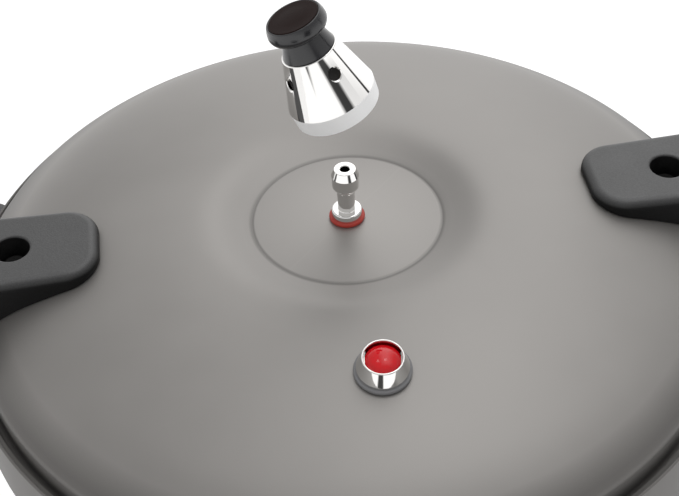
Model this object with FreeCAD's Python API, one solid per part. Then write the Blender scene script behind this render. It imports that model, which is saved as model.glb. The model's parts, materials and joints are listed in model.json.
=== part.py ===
import FreeCAD, Part
import math
import os

# Pressure canner: a tall round pot, a bayonet lid with a sealing ring, and on the lid
# a vent pipe with its rocking weight, a pressure indicator and two handles.
# Millimetres. Origin: centre of the pot's base, +Z up, the lid handles along X.

V = FreeCAD.Vector

# ---- pot
POT_INNER_R = 152.5
POT_WALL = 3.0
POT_HEIGHT = 280.0
POT_FLOOR = 5.0
POT_CORNER_IN = 11.0
RIM_BEAD = 2.0
RIM_BEAD_HEIGHT = 6.0

# ---- bayonet lock between pot and lid
LUG_COUNT = 8
LUG_SPAN = 19.0
LUG_HEIGHT = 4.0
LUG_AXIAL_GAP = 2.0
LUG_RADIAL_GAP = 2.5
LUG_OVERLAP = 6.5
POT_LUG_BELOW_RIM = 15.7
LOCK_TURN = 180 / LUG_COUNT

# ---- lid: radii and slopes (degrees, falling outwards) of the domed top
LID_WALL = 3.5
RECESS_R = 41.5
RECESS_SLOPE = -8.0
RECESS_BLEND_R = 50.0
RECESS_BLEND_SLOPE = -24.0
CROWN_R = 62.0
SHOULDER_RUN = 23.9
SHOULDER_SLOPE = 18.0
EDGE_ROUND = 1.1
EDGE_SLOPE = 41.0
EDGE_BEYOND_POT = 12.5
TROUGH_WIDTH = 3.4
TROUGH_FLOOR = 2.5
SKIRT_WALL = 3.0
# depths below the dome's edge
TROUGH_BELOW_EDGE = 12.2
LIP_BELOW_EDGE = 5.1
CHANNEL_BELOW_EDGE = 0.4
RIB_BELOW_EDGE = 6.7

# ---- sealing ring in its channel under the lid edge
CHANNEL_WIDTH = 11.4
CHANNEL_HEIGHT = 10.6
RIB_WALL = 3.0
RING_GAP = 0.3
RING_HEEL = 3.7
RING_LIP = 2.5
RING_TOP = 4.0

# ---- lid handles
HANDLE_INWARD = 58.0
HANDLE_OUTWARD = 49.0
HANDLE_FLOOR = 3.13
HANDLE_HALF_INNER = 21.2
HANDLE_HALF_OUTER = 25.5
HANDLE_CORNER = 14.5
HANDLE_TIP_CORNER = 18.0
HANDLE_EDGE = 4.0
HANDLE_TIP_DROP = 8.0
HANDLE_TIP_THICK = 15.0
HANDLE_GAP = 0.4
SCREW_INWARD = 21.7
SCREW_WELL_R = 7.5
SCREW_WELL_ROUND = 1.2
NUT_HEAD_R = 5.0
NUT_HEAD_H = 2.6
NUT_HEAD_DEPTH = 8.0
NUT_BARREL_R = 4.2
NUT_BARREL_H = 1.8
NUT_CROWN = 1.0
STUD_R = 3.0
HANDLE_WASHER = 0.8
HANDLE_WASHER_R = 6.5

# ---- pot handles
POT_HANDLE_TOP_CLEAR = 4.0
POT_HANDLE_RISE = 16.0
POT_HANDLE_HALF = 29.0
POT_HANDLE_TIP_CORNER = 20.0
POT_HANDLE_NEAR_CORNER = 5.0
POT_HANDLE_NEAR = 6.0
GRIP_UNDERCUT = 9.0
BRACKET_WALL = 3.0
BRACKET_SPAN = 22.0
BRACKET_HEIGHT = 34.0
TONGUE_HALF = 21.0
TONGUE_REACH = 30.5
TONGUE_BELOW_LID = 24.0
HANDLE_SCREW_R = 2.5
HANDLE_SCREW_HEAD_R = 4.4
HANDLE_SCREW_HEAD_H = 2.8
HANDLE_SCREW_LENGTH = 15.0
HANDLE_SCREW_SPREAD = 12.0
HANDLE_SCREW_REACH = 17.5
RIVET_R = 2.5
RIVET_HEAD_R = 5.0
RIVET_HEAD_H = 2.6
RIVET_ANGLE = 7.5
RIVET_RISE = 11.0

# ---- rack on the pot's floor
RACK_HEIGHT = 13.0
RACK_PLATE = 1.5
RACK_RIM_GAP = 1.0
RACK_CLEAR = 0.3
RACK_HOLE_R = 5.5
RACK_HOLE_RINGS = ((8, 0.33), (16, 0.62), (20, 0.87))

# ---- vent pipe in the middle of the lid
PIPE_BORE_R = 2.05
PIPE_STEM_R = 5.0
GASKET_R = 7.75
GASKET_H = 2.0
COLLAR_R = 6.6
COLLAR_TOP = 5.2
NECK_R = 3.9
NECK_TOP = 16.6
HEAD_R = 5.9
HEAD_LOW = 18.6
HEAD_HIGH = 23.6
PIPE_TOP = 27.0
PIPE_TOP_R = 4.7
PIPE_WASHER_R = 9.0
PIPE_WASHER_H = 1.5
PIPE_NUT_FLATS = 16.0
PIPE_NUT_H = 5.0
PIPE_STEM_PAST_NUT = 4.0
FILTER_R = 8.0
FILTER_H = 8.0
FILTER_WALL = 1.0
FIT = 0.05

# ---- weight (pressure regulator), its own axis along Z from the skirt's bottom edge
WEIGHT_BOTTOM_R = 17.9
WEIGHT_WIDE_R = 18.5
WEIGHT_WIDE_H = 7.7
WEIGHT_TOP_R = 11.6
WEIGHT_TOP_H = 30.3
WEIGHT_WALL = 1.6
WEIGHT_HOLE_R = 2.6
WEIGHT_HOLE_H = 22.4
WEIGHT_HOLE_ANGLE = -62.5
WEIGHT_HOLE_BEVEL = 0.8
BALL_R = 3.5
BALL_H = 20.0
BALL_PLAY = 0.15
BALL_SEAT_GAP = 0.2
CORE_R = 7.5
CORE_LIP_R = 4.3
CORE_LIP_DROP = 1.3
CORE_NECK_R = 4.0
COLLAR_BOTTOM_R = 10.9
COLLAR_NECK_R = 8.6
COLLAR_H = 8.0
KNOB_R = 12.4
KNOB_H = 7.4
KNOB_EDGE = 3.4
KNOB_DISC_R = 10.5
KNOB_DISC_H = 1.3
KNOB_DISC_CROWN = 0.35
KNOB_SCREW_R = 1.6
KNOB_SCREW_HEAD_R = 3.3
KNOB_SCREW_HEAD_H = 2.2
# the weight as stored: held above the pipe and leaning
WEIGHT_LEAN = 19.8
WEIGHT_LEAN_AZIMUTH = 170.0
WEIGHT_LIFT = 49.4
WEIGHT_ASIDE = 8.3

# ---- pressure indicator, its own axis along Z from the lid's surface
INDICATOR_R_POS = 94.2
IND_GASKET_R = 11.4
IND_GASKET_H = 2.2
IND_BASE_R = 10.4
IND_TOP_R = 8.3
IND_TOP = 9.6
IND_BORE_R = 7.55
IND_FLOOR = 3.2
IND_STEM_R = 4.2
IND_STEM_PAST_NUT = 1.15
IND_WASHER_GAP = 0.15
FLOAT_R = 6.95
FLOAT_TOP = 10.2
FLOAT_SIDE = 7.6
FLOAT_GAP = 0.4
FLOAT_PIN_R = 1.8
FLOAT_TRAVEL = 6.0
IND_WASHER_R = 7.0
IND_WASHER_H = 1.0
IND_NUT_FLATS = 14.0
IND_NUT_H = 3.4
SEAL_R = 3.9
SEAL_H = 2.2
CLIP_R = 3.4
CLIP_H = 0.8

# ---- what follows from them
POT_OUTER_R = POT_INNER_R + POT_WALL
EDGE_R = POT_INNER_R + EDGE_BEYOND_POT
EDGE_START_R = EDGE_R - EDGE_ROUND
SHOULDER_R = EDGE_START_R - SHOULDER_RUN
SKIRT_IN_R = EDGE_R + TROUGH_WIDTH
SKIRT_OUT_R = SKIRT_IN_R + SKIRT_WALL
FOOT_IN_R = EDGE_R - SKIRT_WALL
POT_LUG_R = SKIRT_IN_R - LUG_RADIAL_GAP
LID_LUG_R = POT_LUG_R - LUG_OVERLAP
POT_LUG_Z = POT_HEIGHT - POT_LUG_BELOW_RIM - LUG_HEIGHT
LID_LUG_Z = POT_LUG_Z - LUG_AXIAL_GAP - LUG_HEIGHT
SKIRT_LOW_Z = LID_LUG_Z - LUG_AXIAL_GAP
HANDLE_INNER_R = EDGE_R - HANDLE_INWARD
HANDLE_OUTER_R = EDGE_R + HANDLE_OUTWARD
SCREW_R_POS = EDGE_R - SCREW_INWARD
TONGUE_R = POT_OUTER_R + TONGUE_REACH
HANDLE_SCREW_R_POS = POT_OUTER_R + HANDLE_SCREW_REACH
POT_HANDLE_ANGLES = (-LOCK_TURN, 180 - LOCK_TURN)
TONGUE_Z = SKIRT_LOW_Z - TONGUE_BELOW_LID
BRACKET_MID_Z = TONGUE_Z - BRACKET_WALL / 2
IND_STEM_LOW = -LID_WALL - IND_WASHER_GAP - IND_WASHER_H - IND_NUT_H - IND_STEM_PAST_NUT
PIPE_STEM_LOW = -LID_WALL - PIPE_WASHER_H - PIPE_NUT_H - PIPE_STEM_PAST_NUT


# ---- small helpers

def flat(point):
    """A point of a profile: radius along X, height along Z."""
    return V(point[0], 0, point[1])


def face_of(start, steps):
    """Closed face from straight steps (x, z) and arc steps ((x, z) middle, (x, z) end)."""
    edges = []
    here = start
    for step in steps + [start]:
        if isinstance(step[0], tuple):
            middle, end = step
            edges.append(Part.Arc(flat(here), flat(middle), flat(end)).toShape())
        else:
            end = step
            edges.append(Part.LineSegment(flat(here), flat(end)).toShape())
        here = end
    return Part.Face(Part.Wire(edges))


def turned(start, steps):
    """Solid of revolution about Z."""
    return face_of(start, steps).revolve(V(0, 0, 0), V(0, 0, 1), 360)


def rod(radius, low, high, x=0.0, y=0.0):
    return Part.makeCylinder(radius, high - low, V(x, y, low))


def ring(inner, outer, low, high):
    return rod(outer, low, high).cut(rod(inner, low - 1, high + 1))


def hexagon(across_flats, low, high, bore):
    """Hexagon nut with a plain bore and turned corners."""
    corner = across_flats / math.sqrt(3)
    points = [V(corner * math.cos(math.radians(60 * k)), corner * math.sin(math.radians(60 * k)), low)
              for k in range(7)]
    prism = Part.Face(Part.makePolygon(points)).extrude(V(0, 0, high - low))
    cut_back = corner - across_flats / 2
    round_off = turned((0, low), [(corner - cut_back, low), (corner, low + cut_back / 2),
                                  (corner, high - cut_back / 2), (corner - cut_back, high), (0, high)])
    return prism.common(round_off).cut(rod(bore, low - 1, high + 1))


def sector(inner, outer, low, high, middle, span):
    """Part of a ring, centred on the angle middle."""
    face = face_of((inner, low), [(outer, low), (outer, high), (inner, high)])
    solid = face.revolve(V(0, 0, 0), V(0, 0, 1), span)
    solid.rotate(V(0, 0, 0), V(0, 0, 1), middle - span / 2)
    return solid


def rounded(shape, radius, chosen):
    """Fillet of the edges whose bounding box passes a test."""
    return shape.makeFillet(radius, [edge for edge in shape.Edges if chosen(edge.BoundBox)])


def cap(radius, edge, top):
    """Arc step from the radius at height edge to the axis at height top, level at the axis."""
    rise = top - edge
    arc_radius = (radius ** 2 + rise ** 2) / (2 * rise)
    half = math.asin(radius / arc_radius) / 2
    return ((arc_radius * math.sin(half), top - arc_radius * (1 - math.cos(half))), (0, top))


def around(shape, angle):
    copy = shape.copy()
    copy.rotate(V(0, 0, 0), V(0, 0, 1), angle)
    return copy


def moved(shape, x, y, z):
    copy = shape.copy()
    copy.translate(V(x, y, z))
    return copy


def arc_at(r, z, slope_in, slope_out, run, slope):
    """Point at a slope on an arc that starts at (r, z); slopes in degrees, falling outwards."""
    a = math.radians(slope_in)
    b = math.radians(slope_out)
    s = math.radians(slope)
    radius = run / (math.sin(b) - math.sin(a))
    return (r + radius * (math.sin(s) - math.sin(a)), z - radius * (math.cos(a) - math.cos(s)))


# ---- the lid's domed top: arcs from slope to slope, each ending at its own radius

DOME_ARCS = [
    (RECESS_R, RECESS_SLOPE, RECESS_BLEND_R, RECESS_BLEND_SLOPE),
    (RECESS_BLEND_R, RECESS_BLEND_SLOPE, CROWN_R, 0.0),
    (CROWN_R, 0.0, SHOULDER_R, SHOULDER_SLOPE),
    (SHOULDER_R, SHOULDER_SLOPE, EDGE_START_R, EDGE_SLOPE),
    (EDGE_START_R, EDGE_SLOPE, EDGE_R, 90.0),
]


def dome_arcs():
    """The arcs with the height at which each starts."""
    arcs = []
    z = 0.0
    for r_in, slope_in, r_out, slope_out in DOME_ARCS:
        arcs.append((r_in, z, slope_in, slope_out, r_out - r_in))
        z = arc_at(r_in, z, slope_in, slope_out, r_out - r_in, slope_out)[1]
    return arcs


def dome_point(arc, slope, offset):
    """Point on an arc of the dome, moved outwards along the normal by offset."""
    r, z = arc_at(*arc, slope)
    s = math.radians(slope)
    return (r + offset * math.sin(s), z + offset * math.cos(s))


def dome_steps(offset, last_slope=90.0):
    """Profile steps along the dome, from the recess edge to the arc that reaches last_slope."""
    steps = []
    for arc in dome_arcs():
        slope_out = min(arc[3], last_slope)
        steps.append((dome_point(arc, (arc[2] + slope_out) / 2, offset), dome_point(arc, slope_out, offset)))
        if slope_out < arc[3]:
            break
    return steps


def shoulder_slope(radius, offset):
    """Slope of the shoulder where its offset surface has the given radius."""
    r, z, slope_in, slope_out, run = dome_arcs()[3]
    a = math.radians(slope_in)
    arc_radius = run / (math.sin(math.radians(slope_out)) - math.sin(a))
    return math.degrees(math.asin((radius - r + arc_radius * math.sin(a)) / (arc_radius + offset)))


def shoulder_height(radius):
    """Height of the shoulder's surface at a radius."""
    return arc_at(*dome_arcs()[3], shoulder_slope(radius, 0))[1]


def crown_place(radius):
    """Height and slope of the crown's surface at a radius."""
    arc = dome_arcs()[2]
    arc_radius = arc[4] / math.sin(math.radians(arc[3]))
    slope = math.degrees(math.asin((radius - arc[0]) / arc_radius))
    return arc_at(*arc, slope)[1], slope


EDGE_DROP = -dome_steps(0)[-1][1][1]
TROUGH_DEPTH = EDGE_DROP + TROUGH_BELOW_EDGE
LIP_DROP = EDGE_DROP + LIP_BELOW_EDGE
CHANNEL_ROOF = EDGE_DROP + CHANNEL_BELOW_EDGE
RIB_DROP = EDGE_DROP + RIB_BELOW_EDGE
LID_Z = POT_HEIGHT + CHANNEL_ROOF + CHANNEL_HEIGHT
WELL_FLOOR = shoulder_height(SCREW_R_POS) + HANDLE_FLOOR
HANDLE_TOP = WELL_FLOOR + HANDLE_WASHER + NUT_HEAD_H + NUT_HEAD_DEPTH


def over_the_dome(offset):
    """Everything under a surface that clears the lid by offset, to cut what lies on the lid."""
    low = -2 * TROUGH_DEPTH
    lip = -LIP_DROP + offset
    steps = [dome_point(dome_arcs()[0], RECESS_SLOPE, offset)] + dome_steps(offset)
    steps += [(EDGE_R + offset, lip), (SKIRT_OUT_R + offset, lip), (SKIRT_OUT_R + offset, low), (0, low)]
    return moved(turned((0, offset), steps), 0, 0, LID_Z)


# ---- pot

def pot_body():
    corner = POT_CORNER_IN + POT_WALL
    turn = math.sqrt(0.5)
    bead_r = POT_OUTER_R + RIM_BEAD
    outer = (POT_OUTER_R - corner, corner)
    inner = (POT_INNER_R - POT_CORNER_IN, POT_FLOOR + POT_CORNER_IN)
    body = turned((0, 0), [
        (outer[0], 0),
        ((outer[0] + corner * turn, outer[1] - corner * turn), (POT_OUTER_R, corner)),
        (POT_OUTER_R, POT_HEIGHT - RIM_BEAD_HEIGHT - RIM_BEAD),
        (bead_r, POT_HEIGHT - RIM_BEAD_HEIGHT),
        (bead_r, POT_HEIGHT - 1),
        (bead_r - 1, POT_HEIGHT),
        (POT_INNER_R + 1, POT_HEIGHT),
        (POT_INNER_R, POT_HEIGHT - 1),
        (POT_INNER_R, inner[1]),
        ((inner[0] + POT_CORNER_IN * turn, inner[1] - POT_CORNER_IN * turn), (inner[0], POT_FLOOR)),
        (0, POT_FLOOR),
    ])
    for k in range(LUG_COUNT):
        lug = sector(POT_OUTER_R - POT_WALL / 2, POT_LUG_R, POT_LUG_Z, POT_LUG_Z + LUG_HEIGHT,
                     k * 360 / LUG_COUNT, LUG_SPAN)
        body = body.fuse(lug)
    for angle in POT_HANDLE_ANGLES:
        for hole in rivet_places():
            body = body.cut(around(radial_rod(RIVET_R + FIT, POT_INNER_R - 5, POT_OUTER_R + 5, hole), angle))
    return body.removeSplitter()


def rivet_places():
    """Angle and height of each of a bracket's rivets."""
    return [(side * RIVET_ANGLE, BRACKET_MID_Z + rise * RIVET_RISE) for side in (-1, 1) for rise in (-1, 1)]


def radial_rod(radius, near, far, place):
    """Rod that points away from the pot's axis, at an angle and height."""
    angle, z = place
    return around(Part.makeCylinder(radius, far - near, V(near, 0, z), V(1, 0, 0)), angle)


def pot_bracket(angle):
    """Steel plate riveted to the wall, with a tongue that carries the handle."""
    plate = sector(POT_OUTER_R + FIT, POT_OUTER_R + BRACKET_WALL, BRACKET_MID_Z - BRACKET_HEIGHT / 2,
                   BRACKET_MID_Z + BRACKET_HEIGHT / 2, 0, BRACKET_SPAN)
    tongue = Part.makeBox(TONGUE_R - POT_OUTER_R, 2 * TONGUE_HALF, BRACKET_WALL,
                          V(POT_OUTER_R, -TONGUE_HALF, TONGUE_Z - BRACKET_WALL))
    tongue = rounded(tongue, 8, lambda box: box.ZLength > BRACKET_WALL / 2 and box.XMin > TONGUE_R - 1)
    bracket = plate.fuse(tongue.cut(rod(POT_OUTER_R + BRACKET_WALL / 2, 0, POT_HEIGHT)))
    for hole in rivet_places():
        bracket = bracket.cut(radial_rod(RIVET_R + FIT, POT_OUTER_R - 5, POT_OUTER_R + 10, hole))
    for side in (-1, 1):
        y = side * HANDLE_SCREW_SPREAD
        bracket = bracket.cut(rod(HANDLE_SCREW_R + FIT, TONGUE_Z - 10, TONGUE_Z + 5, HANDLE_SCREW_R_POS, y))
    return around(bracket.removeSplitter(), angle)


def pot_handle(angle):
    """Moulded grip: a block under the lid's skirt, rising to a rounded grip outside it."""
    low = TONGUE_Z
    top_in = SKIRT_LOW_Z - POT_HANDLE_TOP_CLEAR
    top_out = top_in + POT_HANDLE_RISE
    near = POT_OUTER_R + POT_HANDLE_NEAR
    rise_r = SKIRT_OUT_R + 5
    tip = HANDLE_OUTER_R
    grip_low = low + GRIP_UNDERCUT
    side = face_of((near, low), [
        (TONGUE_R, low),
        ((TONGUE_R + 5, grip_low - 1), (TONGUE_R + 12, grip_low + 1)),
        (tip - 8, grip_low),
        ((tip - 1, grip_low + 5), (tip, grip_low + 13)),
        (tip, top_out - 6),
        ((tip - 2, top_out - 1.5), (tip - 8, top_out)),
        (rise_r + 12, top_out),
        ((rise_r + 5, top_out - 4), (rise_r, top_in)),
        (near, top_in),
    ])
    block = moved(side.extrude(V(0, 2 * POT_HANDLE_HALF, 0)), 0, -POT_HANDLE_HALF, 0)
    plan = Part.makeBox(tip - near, 2 * POT_HANDLE_HALF, 80, V(near, -POT_HANDLE_HALF, low - 5))
    plan = rounded(plan, POT_HANDLE_TIP_CORNER, lambda box: box.ZLength > 70 and box.XMin > tip - 1)
    plan = rounded(plan, POT_HANDLE_NEAR_CORNER, lambda box: box.ZLength > 70 and box.XMax < near + 1)
    block = block.common(plan)
    hole_top = low - BRACKET_WALL + HANDLE_SCREW_LENGTH + 2
    for y in (-HANDLE_SCREW_SPREAD, HANDLE_SCREW_SPREAD):
        block = block.cut(rod(HANDLE_SCREW_R + FIT, low - 1, hole_top, HANDLE_SCREW_R_POS, y))
    return around(block, angle)


def pot_handle_screw_set():
    """Two pan head screws up through each tongue."""
    screws = []
    head_top = TONGUE_Z - BRACKET_WALL
    head_low = head_top - HANDLE_SCREW_HEAD_H
    for angle in POT_HANDLE_ANGLES:
        for y in (-HANDLE_SCREW_SPREAD, HANDLE_SCREW_SPREAD):
            screw = turned((0, head_low), [
                (HANDLE_SCREW_HEAD_R - 1.8, head_low),
                ((HANDLE_SCREW_HEAD_R - 0.5, head_low + 0.6), (HANDLE_SCREW_HEAD_R, head_low + 1.8)),
                (HANDLE_SCREW_HEAD_R, head_top),
                (HANDLE_SCREW_R, head_top),
                (HANDLE_SCREW_R, head_top + HANDLE_SCREW_LENGTH),
                (0, head_top + HANDLE_SCREW_LENGTH + 0.5)])
            slot = Part.makeBox(10, 1.1, 1.2, V(-5, -0.55, head_low - 0.1))
            screws.append(around(moved(screw.cut(slot), HANDLE_SCREW_R_POS, y, 0), angle))
    return Part.makeCompound(screws)


def pot_rivet_set():
    """Round head rivets through the brackets and the pot's wall."""
    inside = POT_INNER_R - 0.3
    outside = POT_OUTER_R + BRACKET_WALL + 0.3
    rivet = turned((0, inside - 1.5), [
        (RIVET_HEAD_R - 1, inside - 1.5), (RIVET_HEAD_R, inside), (RIVET_R, inside), (RIVET_R, outside),
        (RIVET_HEAD_R, outside), cap(RIVET_HEAD_R, outside, outside + RIVET_HEAD_H)])
    rivet.rotate(V(0, 0, 0), V(0, 1, 0), 90)
    rivets = []
    for angle in POT_HANDLE_ANGLES:
        for turn, z in rivet_places():
            rivets.append(around(moved(rivet, 0, 0, z), angle + turn))
    return Part.makeCompound(rivets)


# ---- rack

def canning_rack():
    """Perforated plate with a turned-down rim that keeps jars off the pot's floor."""
    outer = POT_INNER_R - POT_CORNER_IN - RACK_RIM_GAP
    low = POT_FLOOR + RACK_CLEAR
    top = low + RACK_HEIGHT
    under = top - RACK_PLATE
    inner = outer - RACK_PLATE
    rack = turned((0, under), [
        (inner - 2, under), (inner, under - 2), (inner, low), (outer, low), (outer, top - 3),
        ((outer - 0.9, top - 0.9), (outer - 3, top)), (0, top)])
    holes = [rod(RACK_HOLE_R, under - 1, top + 1)]
    for count, share in RACK_HOLE_RINGS:
        for k in range(count):
            angle = math.radians(360 * k / count)
            holes.append(rod(RACK_HOLE_R, under - 1, top + 1,
                             outer * share * math.cos(angle), outer * share * math.sin(angle)))
    return rack.cut(Part.makeCompound(holes))


# ---- lid

def lid_shell():
    """Domed lid with its edge trough, outer skirt and inward lugs, in one casting."""
    rib_in = FOOT_IN_R - CHANNEL_WIDTH - RIB_WALL
    rib_slope = shoulder_slope(rib_in, -LID_WALL)
    trough_r = TROUGH_WIDTH / 2
    trough_z = -TROUGH_DEPTH + trough_r
    under = -TROUGH_DEPTH - TROUGH_FLOOR
    skirt_low = SKIRT_LOW_Z - LID_Z
    lip_r = (SKIRT_OUT_R - EDGE_R - TROUGH_WIDTH) / 4
    lip_z = -LIP_DROP - lip_r
    lip_in = SKIRT_OUT_R - 2 * lip_r
    steps = [(RECESS_R, 0)] + dome_steps(0)
    steps += [
        (EDGE_R, trough_z),
        ((EDGE_R + trough_r, -TROUGH_DEPTH), (SKIRT_IN_R, trough_z)),
        (lip_in, lip_z),
        ((SKIRT_OUT_R - lip_r, -LIP_DROP), (SKIRT_OUT_R, lip_z)),
        (SKIRT_OUT_R, skirt_low + 1),
        (SKIRT_OUT_R - 1, skirt_low),
        (SKIRT_IN_R, skirt_low),
        (SKIRT_IN_R, under),
        (FOOT_IN_R, under),
        (FOOT_IN_R, -CHANNEL_ROOF),
        (FOOT_IN_R - CHANNEL_WIDTH, -CHANNEL_ROOF),
        (FOOT_IN_R - CHANNEL_WIDTH, -RIB_DROP),
        (rib_in, -RIB_DROP),
    ]
    inside = [dome_point(dome_arcs()[0], RECESS_SLOPE, -LID_WALL)] + dome_steps(-LID_WALL, rib_slope)
    steps += reversed_steps(inside)
    shell = moved(turned((0, 0), steps + [(0, -LID_WALL)]), 0, 0, LID_Z)
    for k in range(LUG_COUNT):
        middle = LOCK_TURN + k * 360 / LUG_COUNT
        lug = sector(LID_LUG_R, SKIRT_IN_R + SKIRT_WALL / 2, LID_LUG_Z, LID_LUG_Z + LUG_HEIGHT,
                     middle, LUG_SPAN)
        shell = shell.fuse(lug)
    shell = shell.cut(rod(PIPE_STEM_R + 0.2, LID_Z - 10, LID_Z + 10))
    shell = shell.cut(on_indicator(rod(IND_STEM_R + 0.2, -10, 10)))
    return shell.removeSplitter()


def reversed_steps(steps):
    """The same outline walked the other way, from the last end back to the first point."""
    back = [end_of(steps[-1])]
    for k in range(len(steps) - 1, 0, -1):
        before = end_of(steps[k - 1])
        back.append((steps[k][0], before) if isinstance(steps[k][0], tuple) else before)
    return back


def end_of(step):
    return step[1] if isinstance(step[0], tuple) else step


def sealing_ring():
    """Soft ring of a C section: its lower lip lies on the pot's rim."""
    outer = FOOT_IN_R - RING_GAP
    inner = FOOT_IN_R - CHANNEL_WIDTH + RING_GAP
    top = LID_Z - CHANNEL_ROOF - RING_GAP
    low = POT_HEIGHT + RING_GAP
    return turned((inner, top - 0.6), [
        (inner + 0.6, top), (outer - 0.6, top), (outer, top - 0.6), (outer, low + 0.6),
        (outer - 0.6, low), (inner + 1.2, low), (inner + 1.2, low + RING_LIP / 2),
        (outer - RING_HEEL, low + RING_LIP), (outer - RING_HEEL, top - RING_TOP), (inner, top - RING_TOP)])


def lid_handle(turn):
    """Moulded handle that lies on the lid and reaches out over its edge."""
    top = HANDLE_TOP
    tip = HANDLE_OUTER_R
    bridge = -LIP_DROP + HANDLE_GAP + 1
    tip_low = top - HANDLE_TIP_DROP - HANDLE_TIP_THICK
    drop_r = SKIRT_OUT_R
    side = face_of((HANDLE_INNER_R - 1, top), [
        (drop_r, top),
        ((drop_r + 26, top - HANDLE_TIP_DROP * 0.36), (tip - 4, top - HANDLE_TIP_DROP)),
        ((tip + 1, top - HANDLE_TIP_DROP - 5), (tip - 1, tip_low + 4)),
        ((tip - 4, tip_low + 0.5), (tip - 10, tip_low)),
        ((drop_r + 17, tip_low - 1.5), (drop_r + 6, bridge)),
        (HANDLE_INNER_R - 1, bridge),
    ])
    block = moved(side.extrude(V(0, 4 * HANDLE_HALF_OUTER, 0)), 0, -2 * HANDLE_HALF_OUTER, 0)
    low = bridge - 5
    corners = [V(HANDLE_INNER_R, -HANDLE_HALF_INNER, low), V(tip, -HANDLE_HALF_OUTER, low),
               V(tip, HANDLE_HALF_OUTER, low), V(HANDLE_INNER_R, HANDLE_HALF_INNER, low)]
    plan = Part.Face(Part.makePolygon(corners + corners[:1])).extrude(V(0, 0, 60))
    plan = rounded(plan, HANDLE_CORNER, lambda box: box.ZLength > 50 and box.XMax < HANDLE_INNER_R + 1)
    plan = rounded(plan, HANDLE_TIP_CORNER, lambda box: box.ZLength > 50 and box.XMin > tip - 1)
    block = block.common(plan)
    rim_low = top - HANDLE_TIP_DROP - 1
    block = rounded(block, HANDLE_EDGE, lambda box: box.ZMin > rim_low and box.ZMax > top - 0.01)
    block = moved(block, 0, 0, LID_Z).cut(over_the_dome(HANDLE_GAP))
    well = turned((0, WELL_FLOOR), [
        (SCREW_WELL_R, WELL_FLOOR), (SCREW_WELL_R, top - SCREW_WELL_ROUND),
        ((SCREW_WELL_R + 0.3 * SCREW_WELL_ROUND, top - 0.3 * SCREW_WELL_ROUND),
         (SCREW_WELL_R + SCREW_WELL_ROUND, top)),
        (SCREW_WELL_R + SCREW_WELL_ROUND, top + 5), (0, top + 5)])
    block = block.cut(moved(well, SCREW_R_POS, 0, LID_Z))
    block = block.cut(rod(NUT_BARREL_R + FIT, LID_Z + WELL_FLOOR - 20, LID_Z + top, SCREW_R_POS))
    return around(block, turn)


def lid_stud_set():
    """Studs welded to the lid, one under each handle."""
    top = WELL_FLOOR + HANDLE_WASHER + NUT_HEAD_H - NUT_CROWN - 0.2
    stud = rod(STUD_R, LID_Z - EDGE_DROP, LID_Z + top, SCREW_R_POS)
    stud = stud.cut(over_the_dome(0))
    return Part.makeCompound([stud, around(stud, 180)])


def lid_nut_set():
    """Polished barrel nuts that hold the handles down on the studs."""
    low = WELL_FLOOR + HANDLE_WASHER
    top = low + NUT_HEAD_H
    barrel_low = low - NUT_BARREL_H
    nut = turned((STUD_R + FIT, barrel_low), [
        (NUT_BARREL_R, barrel_low), (NUT_BARREL_R, low), (NUT_HEAD_R, low), (NUT_HEAD_R, top - 0.8),
        ((NUT_HEAD_R - 0.25, top - 0.25), (NUT_HEAD_R - 0.9, top)), (0, top), (0, top - NUT_CROWN),
        (STUD_R + FIT, top - NUT_CROWN)])
    slot = Part.makeBox(2 * NUT_HEAD_R, 1.2, 0.7, V(-NUT_HEAD_R, -0.6, top - 0.6))
    nut = moved(nut.cut(slot), SCREW_R_POS, 0, LID_Z)
    return Part.makeCompound([nut, around(nut, 180)])


def lid_washer_set():
    low = WELL_FLOOR
    washer = ring(NUT_BARREL_R + FIT, HANDLE_WASHER_R, low, low + HANDLE_WASHER)
    washer = moved(washer, SCREW_R_POS, 0, LID_Z)
    return Part.makeCompound([washer, around(washer, 180)])


# ---- vent pipe

def vent_gasket():
    return moved(turned((PIPE_STEM_R + FIT, 0), [
        (GASKET_R - 0.4, 0), ((GASKET_R, GASKET_H / 2), (GASKET_R - 0.4, GASKET_H)),
        (PIPE_STEM_R + FIT, GASKET_H)]), 0, 0, LID_Z)


def vent_pipe():
    """Polished pipe: collar on the gasket, waisted neck, round head with a coned top."""
    low = PIPE_STEM_LOW
    pipe = turned((PIPE_BORE_R, low), [
        (PIPE_STEM_R - 0.5, low), (PIPE_STEM_R, low + 0.5), (PIPE_STEM_R, GASKET_H),
        (COLLAR_R, GASKET_H), (COLLAR_R, COLLAR_TOP - 0.8),
        ((COLLAR_R - 0.25, COLLAR_TOP - 0.25), (COLLAR_R - 0.8, COLLAR_TOP)),
        (NECK_R, COLLAR_TOP), (NECK_R, NECK_TOP - 0.8),
        ((NECK_R + 0.45, NECK_TOP - 0.4), (NECK_R, NECK_TOP)),
        ((NECK_R + 1.5, HEAD_LOW - 1.4), (HEAD_R, HEAD_LOW + 0.6)),
        (HEAD_R, HEAD_HIGH),
        (PIPE_TOP_R, PIPE_TOP - 0.3),
        (PIPE_TOP_R - 0.4, PIPE_TOP), (PIPE_BORE_R, PIPE_TOP)])
    return moved(pipe, 0, 0, LID_Z)


def vent_washer():
    top = -LID_WALL
    return moved(ring(PIPE_STEM_R + FIT, PIPE_WASHER_R, top - PIPE_WASHER_H, top), 0, 0, LID_Z)


def vent_nut():
    top = -LID_WALL - PIPE_WASHER_H
    return moved(hexagon(PIPE_NUT_FLATS, top - PIPE_NUT_H, top, PIPE_STEM_R + FIT), 0, 0, LID_Z)


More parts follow.
